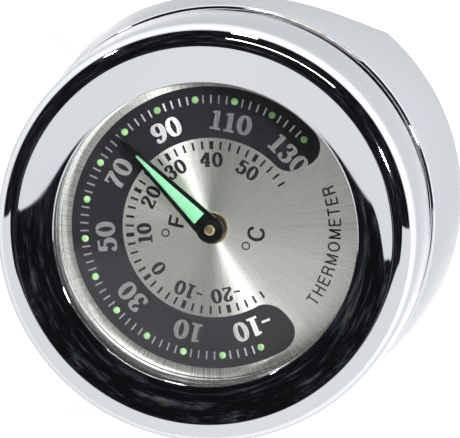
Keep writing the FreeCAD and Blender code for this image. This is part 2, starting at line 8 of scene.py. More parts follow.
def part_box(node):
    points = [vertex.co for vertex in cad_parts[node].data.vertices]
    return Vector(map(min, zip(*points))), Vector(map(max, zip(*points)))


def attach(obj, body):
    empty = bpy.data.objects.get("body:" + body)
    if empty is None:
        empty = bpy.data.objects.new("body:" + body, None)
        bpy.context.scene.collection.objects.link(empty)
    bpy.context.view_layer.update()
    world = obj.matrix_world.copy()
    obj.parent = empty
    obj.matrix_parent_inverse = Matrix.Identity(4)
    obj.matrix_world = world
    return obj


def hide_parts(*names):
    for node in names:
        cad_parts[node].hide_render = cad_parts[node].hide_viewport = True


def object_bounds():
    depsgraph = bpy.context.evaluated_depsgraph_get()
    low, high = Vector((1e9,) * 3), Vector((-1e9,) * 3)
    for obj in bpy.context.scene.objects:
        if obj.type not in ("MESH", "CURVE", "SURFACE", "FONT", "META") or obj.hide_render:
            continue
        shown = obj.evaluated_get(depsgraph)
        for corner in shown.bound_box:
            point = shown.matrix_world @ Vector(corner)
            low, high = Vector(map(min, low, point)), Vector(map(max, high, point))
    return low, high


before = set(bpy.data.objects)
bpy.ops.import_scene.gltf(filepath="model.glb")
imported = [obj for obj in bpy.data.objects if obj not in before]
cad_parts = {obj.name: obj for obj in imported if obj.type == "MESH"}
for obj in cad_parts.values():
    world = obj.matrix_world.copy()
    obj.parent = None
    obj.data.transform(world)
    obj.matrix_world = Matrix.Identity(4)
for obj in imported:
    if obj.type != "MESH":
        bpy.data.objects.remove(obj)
cad_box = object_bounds()

# ---------------------------------------------------------------- sizes
# Metres. +Z is the normal of the dial, +X runs along the bar.
MM = 0.001
DIAL_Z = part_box("dial_plate")[1].z
UNIT = 11.4 * MM                      # circle of the luminous dots
TWELVE_O_CLOCK = math.radians(78.3)   # azimuth of 60 degrees Fahrenheit
MIDDLE_TEMPERATURE = 60
ANGLE_PER_DEGREE = math.radians(1.77)
INK_LIFT = 0.02 * MM
SEGMENTS = 256
COLOR_A, COLOR_B, COLOR_OUT = 6, 7, 2   # colour sockets of the mix node


# ---------------------------------------------------------------- material tools

class Shader:
    """One node material with its Principled shader and short ways to add nodes."""

    def __init__(self, name, color, metallic=0.0, roughness=0.5, **sockets):
        self.material = bpy.data.materials.new(name)
        self.material.use_nodes = True
        self.tree = self.material.node_tree
        self.bsdf = self.tree.nodes["Principled BSDF"]
        self.set("Base Color", (*color, 1.0))
        self.set("Metallic", metallic)
        self.set("Roughness", roughness)
        for socket, value in sockets.items():
            self.set(socket.replace("_", " "), value)

    def set(self, socket, value):
        self.bsdf.inputs[socket].default_value = value

    def node(self, kind, **settings):
        item = self.tree.nodes.new(kind)
        for key, value in settings.items():
            setattr(item, key, value)
        return item

    def link(self, source, target):
        self.tree.links.new(source, target)

    def position(self):
        """Place on the object in metres, the same for every piece."""
        return self.node("ShaderNodeTexCoord").outputs["Object"]

    def math(self, operation, first, second=None):
        item = self.node("ShaderNodeMath", operation=operation)
        for socket, value in zip(item.inputs, (first, second)):
            if value is None:
                continue
            if isinstance(value, (int, float)):
                socket.default_value = value
            else:
                self.link(value, socket)
        return item.outputs[0]

    def vector(self, operation, first, second=None, scale=None):
        item = self.node("ShaderNodeVectorMath", operation=operation)
        for socket, value in zip(item.inputs, (first, second)):
            if value is None:
                continue
            if isinstance(value, tuple):
                socket.default_value = value
            else:
                self.link(value, socket)
        if scale is not None:
            item.inputs["Scale"].default_value = scale
        return item.outputs["Vector"]

    def noise(self, vector, scale, detail=3.0, roughness=0.5):
        item = self.node("ShaderNodeTexNoise")
        item.inputs["Scale"].default_value = scale
        item.inputs["Detail"].default_value = detail
        item.inputs["Roughness"].default_value = roughness
        self.link(vector, item.inputs["Vector"])
        return item.outputs["Fac"]

    def remap(self, value, low, high, from_low=0.3, from_high=0.7):
        item = self.node("ShaderNodeMapRange")
        item.inputs["From Min"].default_value = from_low
        item.inputs["From Max"].default_value = from_high
        item.inputs["To Min"].default_value = low
        item.inputs["To Max"].default_value = high
        self.link(value, item.inputs["Value"])
        return item.outputs["Result"]

    def mix(self, fac, first, second):
        item = self.node("ShaderNodeMix", data_type="RGBA")
        self.link(fac, item.inputs["Factor"])
        item.inputs[COLOR_A].default_value = (*first, 1.0)
        item.inputs[COLOR_B].default_value = (*second, 1.0)
        return item.outputs[COLOR_OUT]

    def rough(self, value, low, high):
        self.link(self.remap(value, low, high), self.bsdf.inputs["Roughness"])

    def bump(self, value, strength, distance):
        item = self.node("ShaderNodeBump")
        item.inputs["Strength"].default_value = strength
        item.inputs["Distance"].default_value = distance
        self.link(value, item.inputs["Height"])
        self.link(item.outputs["Normal"], self.bsdf.inputs["Normal"])


def polar_streaks(shader, fineness, drift=40.0):
    """Noise that is even along each radius and changes round the axis."""
    place = shader.position()
    flat = shader.vector("MULTIPLY", place, (1.0, 1.0, 0.0))
    around = shader.vector("NORMALIZE", flat)
    along = shader.vector("SCALE", flat, scale=drift)
    spread = shader.vector("SCALE", around, scale=fineness)
    return shader.noise(shader.vector("ADD", spread, along), 1.0, 4.0, 0.65)


def round_tangent(shader):
    """Direction round the axis, for brushed finishes."""
    return shader.vector("NORMALIZE",
                         shader.vector("CROSS_PRODUCT", (0.0, 0.0, 1.0), shader.position()))


def chrome():
    # The dark specular tint dims the grazing reflection on the sides: painted shade standing in for
    # the shadowed floor beside the piece.
    shader = Shader("chrome_plate", (0.69, 0.71, 0.735), 1.0, 0.03,
                    Specular_Tint=(0.52, 0.53, 0.55, 1.0))
    haze = shader.noise(shader.position(), 260.0, 5.0, 0.6)
    shader.rough(haze, 0.015, 0.055)
    tint = shader.noise(shader.position(), 45.0, 2.0)
    shader.link(shader.mix(shader.remap(tint, 0.0, 1.0), (0.67, 0.69, 0.72), (0.71, 0.725, 0.745)),
                shader.bsdf.inputs["Base Color"])
    shader.bump(haze, 0.04, 0.004 * MM)
    return shader.material


def sunray(name, dark, bright, rough_low, rough_high):
    """Aluminium brushed from the middle outwards."""
    shader = Shader(name, bright, 1.0, 0.3, Anisotropic=0.92)
    coarse = polar_streaks(shader, 34.0, 12.0)
    fine = polar_streaks(shader, 210.0, 60.0)
    both = shader.math("ADD", shader.math("MULTIPLY", coarse, 0.3),
                       shader.math("MULTIPLY", fine, 0.7))
    shader.link(shader.mix(shader.remap(both, 0.0, 1.0, 0.38, 0.62), dark, bright),
                shader.bsdf.inputs["Base Color"])
    shader.link(shader.remap(fine, rough_low, rough_high), shader.bsdf.inputs["Roughness"])
    shader.link(round_tangent(shader), shader.bsdf.inputs["Tangent"])
    shader.bump(both, 0.14, 0.01 * MM)
    return shader.material


def turned_metal(name, dark, bright, roughness):
    """Metal with fine rings from the lathe."""
    shader = Shader(name, bright, 1.0, roughness)
    place = shader.position()
    parts = shader.node("ShaderNodeSeparateXYZ")
    shader.link(place, parts.inputs[0])
    across = shader.math("SQRT", shader.math("ADD",
                         shader.math("MULTIPLY", parts.outputs[0], parts.outputs[0]),
                         shader.math("MULTIPLY", parts.outputs[1], parts.outputs[1])))
    ring_place = shader.node("ShaderNodeCombineXYZ")
    shader.link(across, ring_place.inputs[0])
    shader.link(parts.outputs[2], ring_place.inputs[1])
    rings = shader.noise(ring_place.outputs[0], 5000.0, 3.0)
    shader.link(shader.mix(shader.remap(rings, 0.0, 1.0), dark, bright),
                shader.bsdf.inputs["Base Color"])
    shader.rough(rings, roughness * 0.8, roughness * 1.25)
    shader.bump(rings, 0.15, 0.01 * MM)
    return shader.material


def grained(name, dark, bright, roughness, scale, bump, metallic=0.0, **sockets):
    """Fine-grained surface: paint, ink, rubber, foam or plastic."""
    shader = Shader(name, bright, metallic, roughness, **sockets)
    grain = shader.noise(shader.position(), scale, 4.0)
    shader.link(shader.mix(shader.remap(grain, 0.0, 1.0), dark, bright),
                shader.bsdf.inputs["Base Color"])
    shader.rough(grain, roughness * 0.85, min(roughness * 1.15, 1.0))
    shader.bump(grain, bump, 0.02 * MM)
    return shader.material


def glass():
    """Clear flat glass; rays from lamps pass straight through."""
    shader = Shader("clear_glass", (0.985, 0.995, 0.99), 0.0, 0.0,
                    Transmission_Weight=1.0, IOR=1.45)
    haze = shader.noise(shader.position(), 300.0, 3.0)
    shader.link(shader.remap(haze, 0.0, 0.012), shader.bsdf.inputs["Roughness"])
    clear = shader.node("ShaderNodeBsdfTransparent")
    rays = shader.node("ShaderNodeLightPath")
    either = shader.node("ShaderNodeMixShader")
    shader.link(rays.outputs["Is Shadow Ray"], either.inputs[0])
    shader.link(shader.bsdf.outputs[0], either.inputs[1])
    shader.link(clear.outputs[0], either.inputs[2])
    output = shader.tree.nodes["Material Output"]
    shader.link(either.outputs[0], output.inputs["Surface"])
    return shader.material


CHROME = chrome()
DIAL_METAL = sunray("dial_sunray", (0.75, 0.76, 0.70), (0.93, 0.93, 0.87), 0.24, 0.34)
PRINT_METAL = sunray("bare_dial_metal", (0.62, 0.62, 0.62), (0.86, 0.86, 0.86), 0.24, 0.36)
BAND_INK = grained("charcoal_print", (0.012, 0.012, 0.015), (0.017, 0.017, 0.021), 0.34,
                   2600.0, 0.05, Specular_IOR_Level=0.25)
BLACK_INK = grained("black_print", (0.008, 0.008, 0.009), (0.014, 0.014, 0.015), 0.42,
                    3000.0, 0.05, Specular_IOR_Level=0.25)
DOT_PAINT = grained("dot_lume", (0.22, 0.44, 0.17), (0.28, 0.52, 0.21), 0.6, 4000.0, 0.2)
LUME = grained("pointer_lume_paint", (0.20, 0.55, 0.31), (0.24, 0.62, 0.35), 0.55, 2600.0, 0.2)
POINTER_BLACK = grained("pointer_enamel", (0.003, 0.003, 0.003), (0.006, 0.006, 0.006), 0.3,
                        1800.0, 0.02, Specular_IOR_Level=0.12)
RUBBER = grained("black_rubber", (0.012, 0.012, 0.012), (0.024, 0.024, 0.024), 0.72, 900.0, 0.5)
FOAM = grained("grey_foam", (0.05, 0.05, 0.05), (0.11, 0.11, 0.11), 0.95, 1500.0, 1.0)
PLASTIC = grained("black_plastic", (0.02, 0.02, 0.02), (0.035, 0.035, 0.035), 0.5, 1200.0, 0.3)
BRASS = turned_metal("turned_brass", (0.64, 0.52, 0.25), (0.84, 0.72, 0.40), 0.20)
SURROUND = turned_metal("polished_surround", (0.84, 0.85, 0.86), (0.93, 0.94, 0.95), 0.16)
CAN_STEEL = turned_metal("can_steel", (0.48, 0.48, 0.49), (0.62, 0.62, 0.63), 0.35)
SCREW_STEEL = turned_metal("screw_steel", (0.46, 0.46, 0.48), (0.62, 0.62, 0.64), 0.25)
BIMETAL = grained("bimetal_strip", (0.42, 0.38, 0.33), (0.56, 0.50, 0.42), 0.38, 700.0, 0.2, 1.0)
GLASS = glass()


def dress(piece, material):
    piece.data.materials.clear()
    piece.data.materials.append(material)
    return piece


# ---------------------------------------------------------------- mesh tools

def new_piece(name, verts, faces, material, sharp=()):
    mesh = bpy.data.meshes.new(name)
    mesh.from_pydata(verts, [], faces)
    mesh.update()
    for polygon in mesh.polygons:
        polygon.use_smooth = True
    if sharp:
        keys = set(sharp)
        for edge in mesh.edges:
            if tuple(sorted(edge.vertices)) in keys:
                edge.use_edge_sharp = True
    piece = bpy.data.objects.new(name, mesh)
    bpy.context.scene.collection.objects.link(piece)
    return dress(piece, material)


def arc(centre, radius, start, end, steps=8):
    """Points on an arc of a profile; angles in degrees from outwards, +Z is 90."""
    angles = [math.radians(start + (end - start) * step / steps) for step in range(steps + 1)]
    return [(centre[0] + radius * math.cos(angle), centre[1] + radius * math.sin(angle))
            for angle in angles]


def turn_angle(before, here, after):
    first = math.atan2(here[1] - before[1], here[0] - before[0])
    second = math.atan2(after[1] - here[1], after[0] - here[0])
    return abs((second - first + math.pi) % (2 * math.pi) - math.pi)


def lathe(name, profile, material, segments=SEGMENTS):
    """Closed ring turned from a profile of (radius, height) in millimetres."""
    count = len(profile)
    verts = []
    for step in range(segments):
        angle = 2 * math.pi * step / segments
        for radius, height in profile:
            verts.append((radius * MM * math.cos(angle), radius * MM * math.sin(angle),
                          height * MM))
    faces = []
    for step in range(segments):
        near = step * count
        far = (step + 1) % segments * count
        for index in range(count):
            following = (index + 1) % count
            faces.append((near + index, far + index, far + following, near + following))
    sharp = []
    for index in range(count):
        if turn_angle(profile[index - 1], profile[index], profile[(index + 1) % count]) > 0.6:
            for step in range(segments):
                near = step * count + index
                far = (step + 1) % segments * count + index
                sharp.append(tuple(sorted((near, far))))
    return new_piece(name, verts, faces, material, sharp)


# ---------------------------------------------------------------- bezel

def make_bezel():
    """Front ring: hollow dish, crisp crease, bull nose and a side that flares to the back."""
    dish = arc((12.897, 39.057), 9.22, -85.94, -68.8, 20)
    nose = arc((16.6, 28.7), 1.9, 3.3, 90.0, 26)
    crease_round = arc((16.6, 30.345), 0.25, 96.0, 111.0, 4)
    back = arc((18.55, 22.1), 0.3, -90.0, -3.0, 8)
    lip_round = arc((13.55, 29.69), 0.17, 180.0, 90.0, 6)
    profile = ([(17.25, 21.8)] + back + nose + crease_round + list(reversed(dish))
               + list(reversed(lip_round)) + [(13.38, 29.35), (14.75, 29.35), (14.75, 27.75),
                                               (15.2, 27.75), (15.2, 25.8), (17.25, 25.8)])
    piece = lathe("polished_bezel", profile, CHROME)
    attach(piece, "case")
    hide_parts("bezel_ring")


# ---------------------------------------------------------------- housing

SADDLE = 13.7
RIM_Z = 4.35
RIM_RADIUS = 19.9
SHOULDER_RADIUS = 19.0
SHOULDER_Z = 19.15
SIDE_ARC = 220.0


def side_radius(height):
    """Housing side: one long arc from the shoulder to the rim."""
    low, high = RIM_Z, SHOULDER_Z
    part = (high - height) / (high - low)
    bulge = (high - low) ** 2 / (8 * SIDE_ARC) * 4 * part * (1 - part)
    return SHOULDER_RADIUS + (RIM_RADIUS - SHOULDER_RADIUS) * part + bulge


def saddle_height(angle):
    """Height at which the bar saddle cuts the side, or the rim where it doesn't."""
    height = RIM_Z
    for step in range(40):
        across = side_radius(height) * math.sin(angle)
        if abs(across) >= SADDLE:
            return RIM_Z
        height = max(RIM_Z, 0.5 * height + 0.5 * math.sqrt(SADDLE ** 2 - across ** 2))
    return height


def housing_angles():
    """Azimuths of the columns, with one exactly at each corner of the saddle."""
    corner = math.asin(math.sqrt(SADDLE ** 2 - RIM_Z ** 2) / RIM_RADIUS)
    spans = [(-corner, corner, 88), (corner, math.pi - corner, 88),
             (math.pi - corner, math.pi + corner, 88),
             (math.pi + corner, 2 * math.pi - corner, 88)]
    return [low + (high - low) * step / count
            for low, high, count in spans for step in range(count)]


def make_housing():
    """Body with the groove, the flared side and the half-round saddle with soft edges."""
    angles = housing_angles()
    count = len(angles)
    inside = [(15.3, 15.2), (15.3, 25.6), (17.2, 25.6), (17.2, 24.45), (16.28, 24.45),
              (16.28, 23.35), (17.2, 23.35), (17.2, 19.45)]
    shoulder = arc((SHOULDER_RADIUS - 0.3, SHOULDER_Z), 0.3, 90.0, -4.0, 10)
    fixed = inside + shoulder
    side_steps = 14
    edge_steps = 5
    edge = 0.38
    verts = []
    rows = len(fixed) + side_steps + edge_steps + 1
    for angle in angles:
        cosine, sine = math.cos(angle), math.sin(angle)
        low = saddle_height(angle)
        column = list(fixed)
        for step in range(1, side_steps + 1):
            height = SHOULDER_Z - (SHOULDER_Z - low - edge) * step / side_steps
            column.append((side_radius(height), height))
        points = [(radius * cosine, radius * sine, height) for radius, height in column]
        outer = Vector(points[-1])
        sharp = Vector((side_radius(low) * cosine, side_radius(low) * sine, low))
        on_saddle = abs(sharp.y) < math.sqrt(SADDLE ** 2 - RIM_Z ** 2) - 1e-6
        if on_saddle:
            inner = sharp - Vector((math.copysign(edge, sharp.x), 0, 0))
        else:
            inner = Vector(((side_radius(low) - edge) * cosine,
                            (side_radius(low) - edge) * sine, low))
        for step in range(1, edge_steps + 1):
            part = step / (edge_steps + 1)
            points.append(tuple(outer * (1 - part) ** 2 + sharp * 2 * part * (1 - part)
                                + inner * part ** 2))
        points.append(tuple(inner))
        verts += [(x * MM, y * MM, z * MM) for x, y, z in points]
    faces = []
    for step in range(count):
        near, far = step * rows, (step + 1) % count * rows
        for index in range(rows - 1):
            faces.append((near + index, near + index + 1, far + index + 1, far + index))
    floor = [step * rows for step in range(count)]
    faces.append(tuple(reversed(floor)))
    quarter = count // 4
    last = rows - 1
    front = [step % count for step in range(0, quarter + 1)]
    saddle_steps = 24
    grid = []
    for step in front:
        mirror = (3 * quarter - step) % count
        start = Vector(verts[step * rows + last])
        end = Vector(verts[mirror * rows + last])
        line = [step * rows + last]
        for part in range(1, saddle_steps):
            verts.append(tuple(start.lerp(end, part / saddle_steps)))
            line.append(len(verts) - 1)
        line.append(mirror * rows + last)
        grid.append(line)
    for first, second in zip(grid, grid[1:]):
        for index in range(saddle_steps):
            faces.append((first[index], first[index + 1], second[index + 1], second[index]))
    left = [step * rows + last for step in range(quarter, 2 * quarter + 1)]
    faces.append(tuple(left + list(reversed(grid[-1]))[1:-1]))
    right = [step % count * rows + last for step in range(3 * quarter, 4 * quarter + 1)]
    faces.append(tuple(right + grid[0][1:-1]))
    piece = new_piece("polished_housing", verts, faces, CHROME)
    tidy_normals(piece)
    drill_screw_holes(piece)
    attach(piece, "case")
    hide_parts("housing")


def drill_screw_holes(piece):
    """Two blind holes for the clamp screws, cut into the housing's mesh."""
    verts, faces = [], []
    sides, radius, spacing, depth = 48, 1.3, 16.5, 12.6
    for across in (spacing, -spacing):
        start = len(verts)
        for height in (0.0, depth):
            for step in range(sides):
                angle = 2 * math.pi * step / sides
                verts.append((radius * MM * math.cos(angle),
                              (across + radius * math.sin(angle)) * MM, height * MM))
        for step in range(sides):
            following = (step + 1) % sides
            faces.append((start + step, start + following,
                          start + sides + following, start + sides + step))
        faces.append(tuple(start + step for step in reversed(range(sides))))
        faces.append(tuple(start + sides + step for step in range(sides)))
    drill = new_piece("drill", verts, faces, CHROME)
    hole = piece.modifiers.new("screw_holes", "BOOLEAN")
    hole.operation = "DIFFERENCE"
    hole.solver = "EXACT"
    hole.object = drill
    bpy.context.view_layer.update()
    drilled = bpy.data.meshes.new_from_object(
        piece.evaluated_get(bpy.context.evaluated_depsgraph_get()))
    piece.modifiers.clear()
    undrilled = piece.data
    piece.data = drilled
    drilled.name = "polished_housing"
    bpy.data.meshes.remove(undrilled)
    bpy.data.objects.remove(drill)


def tidy_normals(piece, angle=0.6):
    """Outward faces, and sharp edges where two faces meet at more than the angle."""
    work = bmesh.new()
    work.from_mesh(piece.data)
    bmesh.ops.remove_doubles(work, verts=work.verts, dist=1e-6)
    bmesh.ops.recalc_face_normals(work, faces=work.faces)
    for edge in work.edges:
        edge.smooth = len(edge.link_faces) == 2 and edge.calc_face_angle(0.0) < angle
    work.to_mesh(piece.data)
    work.free()


# ---------------------------------------------------------------- printed dial

def around(angle, radius):
    return Vector((radius * math.cos(angle), radius * math.sin(angle)))


def fahrenheit_angle(degrees):
    """Azimuth of a Fahrenheit reading; the scale runs clockwise."""
    return TWELVE_O_CLOCK - (degrees - MIDDLE_TEMPERATURE) * ANGLE_PER_DEGREE


def celsius_angle(degrees):
    return fahrenheit_angle(degrees * 1.8 + 32)


class Print:
    """Flat printed shapes that become one piece."""

    def __init__(self, height):
        self.height = height
        self.verts = []
        self.faces = []
        self.strokes = 0

    def level(self):
        """Height of the next stroke; crossing strokes never lie in one plane."""
        self.strokes += 1
        return self.height + self.strokes % 5 * 0.0008 * MM

    def strip(self, left, right, closed=False):
        start = len(self.verts)
        level = self.level()
        for one, other in zip(left, right):
            self.verts.append((one.x, one.y, level))
            self.verts.append((other.x, other.y, level))
        count = len(left)
        for step in range(count if closed else count - 1):
            near = start + 2 * step
            far = start + 2 * ((step + 1) % count)
            self.faces.append((near, near + 1, far + 1, far))

    def disc(self, centre, radius, segments=20):
        start = len(self.verts)
        level = self.level()
        for step in range(segments):
            edge = centre + around(2 * math.pi * step / segments, radius)
            self.verts.append((edge.x, edge.y, level))
        self.faces.append(tuple(range(start, start + segments)))

    def bar(self, start, end, width):
        along = (end - start).normalized()
        side = Vector((-along.y, along.x)) * width / 2
        self.strip([start + side, end + side], [start - side, end - side])

    def finish(self, name, material):
        piece = new_piece(name, self.verts, self.faces, material)
        work = bmesh.new()
        work.from_mesh(piece.data)
        for face in work.faces:
            if face.normal.z < 0:
                face.normal_flip()
        work.to_mesh(piece.data)
        work.free()
        shell = piece.modifiers.new("ink_thickness", "SOLIDIFY")
        shell.thickness = INK_LIFT
        shell.offset = -1.0
        for polygon in piece.data.polygons:
            polygon.use_smooth = False
        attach(piece, "case")
        return piece


def smooth_line(points, steps=7):
    """Catmull-Rom curve through the points."""
    padded = [points[0] * 2 - points[1]] + points + [points[-1] * 2 - points[-2]]
    line = []
    for index in range(1, len(padded) - 2):
        before, here, after, beyond = padded[index - 1:index + 3]
        for step in range(steps):
            t = step / steps
            line.append((here * 2 + (after - before) * t
                         + (before * 2 - here * 5 + after * 4 - beyond) * t ** 2
                         + (here * 3 - before - after * 3 + beyond) * t ** 3) * 0.5)
    line.append(points[-1])
    return line


# Letters one unit high: width, then strokes. A stroke is ("line", points), ("curve", points),
# ("loop", middle, radii), ("slab", left, right, height) or ("ball", middle, radius).
GLYPHS = {
    "-": (0.46, [("slab", 0.03, 0.43, 0.42)]),
    "0": (0.68, [("loop", (0.34, 0.5), (0.235, 0.445))]),
    "1": (0.56, [("line", [(0.30, 0.04), (0.30, 0.98)]), ("slab", 0.06, 0.54, 0.055),
                 ("slab", 0.08, 0.30, 0.88)]),
    "2": (0.64, [("curve", [(0.11, 0.73), (0.17, 0.89), (0.33, 0.95), (0.49, 0.85),
                            (0.49, 0.68), (0.36, 0.47), (0.16, 0.24), (0.08, 0.09)]),
                 ("slab", 0.03, 0.60, 0.07), ("slab", 0.50, 0.60, 0.15),
                 ("ball", (0.13, 0.72), 0.095)]),
    "3": (0.64, [("curve", [(0.12, 0.78), (0.20, 0.91), (0.35, 0.95), (0.48, 0.86),
                            (0.48, 0.67), (0.37, 0.55), (0.24, 0.53)]),
                 ("curve", [(0.24, 0.53), (0.40, 0.51), (0.52, 0.39), (0.51, 0.18),
                            (0.36, 0.05), (0.18, 0.07), (0.09, 0.20)]),
                 ("ball", (0.13, 0.77), 0.095), ("ball", (0.11, 0.22), 0.095)]),
    "4": (0.68, [("line", [(0.45, 0.03), (0.45, 0.98)]), ("line", [(0.42, 0.96), (0.05, 0.32)]),
                 ("slab", 0.02, 0.65, 0.28), ("slab", 0.28, 0.62, 0.05)]),
    "5": (0.64, [("slab", 0.12, 0.55, 0.92), ("line", [(0.16, 0.95), (0.14, 0.50)]),
                 ("curve", [(0.14, 0.54), (0.28, 0.62), (0.45, 0.57), (0.53, 0.38),
                            (0.48, 0.14), (0.30, 0.04), (0.13, 0.09), (0.08, 0.20)]),
                 ("ball", (0.11, 0.20), 0.095)]),
    "7": (0.62, [("slab", 0.05, 0.60, 0.92), ("slab", 0.05, 0.14, 0.80),
                 ("curve", [(0.54, 0.92), (0.38, 0.60), (0.27, 0.30), (0.25, 0.02)])]),
    "9": (0.66, [("loop", (0.33, 0.68), (0.215, 0.265)),
                 ("curve", [(0.55, 0.68), (0.55, 0.42), (0.45, 0.15), (0.27, 0.05),
                            (0.14, 0.12)]),
                 ("ball", (0.16, 0.16), 0.095)]),
    "T": (0.62, [("slab", 0.0, 0.62, 0.95), ("line", [(0.31, 0.0), (0.31, 0.95)])]),
    "H": (0.66, [("line", [(0.06, 0.0), (0.06, 1.0)]), ("line", [(0.60, 0.0), (0.60, 1.0)]),
                 ("slab", 0.06, 0.60, 0.53)]),
    "E": (0.58, [("line", [(0.06, 0.0), (0.06, 1.0)]), ("slab", 0.06, 0.58, 0.95),
                 ("slab", 0.06, 0.54, 0.53), ("slab", 0.06, 0.58, 0.05)]),
    "R": (0.66, [("line", [(0.06, 0.0), (0.06, 1.0)]), ("slab", 0.06, 0.38, 0.95),
                 ("curve", [(0.38, 0.95), (0.54, 0.90), (0.58, 0.75), (0.54, 0.58),
                            (0.38, 0.51)]),
                 ("slab", 0.06, 0.38, 0.51),
                 ("curve", [(0.40, 0.51), (0.53, 0.42), (0.57, 0.20), (0.61, 0.0)])]),
    "M": (0.78, [("line", [(0.06, 0.0), (0.06, 1.0)]), ("line", [(0.72, 0.0), (0.72, 1.0)]),
                 ("line", [(0.07, 0.98), (0.39, 0.06)]), ("line", [(0.71, 0.98), (0.39, 0.06)])]),
    "O": (0.78, [("loop", (0.39, 0.5), (0.33, 0.45))]),
    "F": (0.56, [("line", [(0.06, 0.0), (0.06, 1.0)]), ("slab", 0.06, 0.56, 0.94),
                 ("slab", 0.06, 0.50, 0.50)]),
    "C": (0.72, [("curve", [(0.64, 0.71), (0.56, 0.88), (0.38, 0.95), (0.17, 0.86),
                            (0.06, 0.62), (0.06, 0.38), (0.17, 0.14), (0.38, 0.05),
                            (0.57, 0.13), (0.66, 0.32)])]),
}
LETTER_GAP = 0.075


def text_width(text, gap):
    return sum(GLYPHS[letter][0] for letter in text) + gap * (len(text) - 1)


def write(ink, text, middle, up, size, thick, thin, gap=LETTER_GAP, stretch=1.0):
    """Letters whose line is centred on middle, half way up; up is the way their tops point."""
    right = Vector((up.y, -up.x)) * stretch
    start = -text_width(text, gap) / 2

    def place(point, offset):
        return middle + right * (offset + point[0]) * size + up * (point[1] - 0.5) * size

    for letter in text:
        width, strokes = GLYPHS[letter]
        for kind, *shape in strokes:
            if kind == "slab":
                low, high, level = shape
                ink.bar(place((low, level), start), place((high, level), start), thin * size)
            elif kind == "ball":
                ink.disc(place(shape[0], start), shape[1] * size)
            else:
                closed = kind == "loop"
                if kind == "line":
                    path = [Vector(point) for point in shape[0]]
                elif kind == "curve":
                    path = smooth_line([Vector(point) for point in shape[0]])
                else:
                    (x, y), (wide, tall) = shape
                    path = [Vector((x + wide * math.cos(2 * math.pi * step / 32),
                                    y + tall * math.sin(2 * math.pi * step / 32)))
                            for step in range(32)]
                left, other = [], []
                count = len(path)
                for index, point in enumerate(path):
                    if closed:
                        run = path[(index + 1) % count] - path[index - 1]
                    else:
                        run = path[min(index + 1, count - 1)] - path[max(index - 1, 0)]
                    run.normalize()
                    half = (thin + (thick - thin) * abs(run.y) ** 1.5) / 2
                    side = Vector((-run.y, run.x)) * half
                    left.append(place(point + side, start))
                    other.append(place(point - side, start))
                ink.strip(left, other, closed)
        start += width + gap


def write_round(ink, text, angle, radius, size, thick, thin, gap):
    """One word at an azimuth, the tops of its letters towards the middle."""
    run = -text_width(text, gap) / 2
    for letter in text:
        width = GLYPHS[letter][0]
        place = angle + (run + width / 2) * size / radius
        write(ink, letter, around(place, radius), -around(place, 1.0), size, thick, thin)
        run += width + gap


def make_band():
    """Charcoal crescent with rounded ends that carries the Fahrenheit scale."""
    inner, outer = 0.70 * UNIT, 1.10 * UNIT
    first, last = math.radians(134.5), math.radians(-142.5)
    corner = 0.17 * UNIT
    middle = (inner + outer) / 2
    half = (outer - inner) / 2
    ink = Print(DIAL_Z + INK_LIFT)
    length = (first - last) * middle
    stations = [length * step / 300 for step in range(301)]
    stations += [corner * (1 - math.cos(math.pi / 2 * step / 12)) for step in range(1, 12)]
    stations += [length - corner * (1 - math.cos(math.pi / 2 * step / 12))
                 for step in range(1, 12)]
    low_edge, high_edge = [], []
    for station in sorted(stations):
        from_end = min(station, length - station)
        reach = half
        if from_end < corner:
            reach = half - corner + math.sqrt(max(corner ** 2 - (corner - from_end) ** 2, 0.0))
        angle = TWELVE_O_CLOCK - last - station / middle
        low_edge.append(around(angle, middle - reach))
        high_edge.append(around(angle, middle + reach))
    ink.strip(low_edge, high_edge)
    ink.finish("dial_band", BAND_INK)


def make_fahrenheit():
    ink = Print(DIAL_Z + 2 * INK_LIFT)
    for degrees in range(-10, 131, 2):
        if degrees % 10:
            angle = fahrenheit_angle(degrees)
            ink.bar(around(angle, 0.968 * UNIT), around(angle, 1.032 * UNIT), 0.0125 * UNIT)
    for degrees in (-10, 10, 30, 50, 70, 90, 110, 130):
        angle = fahrenheit_angle(degrees)
        write(ink, str(degrees), around(angle, 0.834 * UNIT), around(angle, 1.0),
              0.152 * UNIT, 0.235, 0.115, stretch=1.1)
    ink.finish("fahrenheit_scale", PRINT_METAL)


def make_celsius():
    ink = Print(DIAL_Z + INK_LIFT)
    for degrees in range(-28, 59, 2):
        angle = celsius_angle(degrees)
        width = (0.0165 if degrees % 10 else 0.031) * UNIT
        ink.bar(around(angle, 0.612 * UNIT), around(angle, 0.675 * UNIT), width)
    for degrees in range(-20, 51, 10):
        angle = celsius_angle(degrees)
        write(ink, str(degrees), around(angle, 0.531 * UNIT), around(angle, 1.0),
              0.113 * UNIT, 0.235, 0.125, stretch=1.07)
    top = around(TWELVE_O_CLOCK, 1.0)
    right = Vector((top.y, -top.x))
    label_places = (("F", 0.28, -0.012, 0.122, 0.347, -0.12),
                    ("C", -0.343, 0.03, 0.13, -0.285, -0.08))
    for letter, rise, across, size, ring_rise, ring_across in label_places:
        middle = (top * rise + right * across) * UNIT
        write(ink, letter, middle, top, size * UNIT, 0.17, 0.165, stretch=1.13)
        ring_middle = (top * ring_rise + right * ring_across) * UNIT
        steps = [2 * math.pi * step / 28 for step in range(28)]
        ink.strip([ring_middle + around(step, 0.033 * UNIT) for step in steps],
                  [ring_middle + around(step, 0.023 * UNIT) for step in steps], True)
    bottom = TWELVE_O_CLOCK + math.pi + math.radians(3.75)
    write_round(ink, "THERMOMETER", bottom, 0.955 * UNIT, 0.095 * UNIT, 0.135, 0.135, 0.27)
    ink.finish("celsius_scale", BLACK_INK)


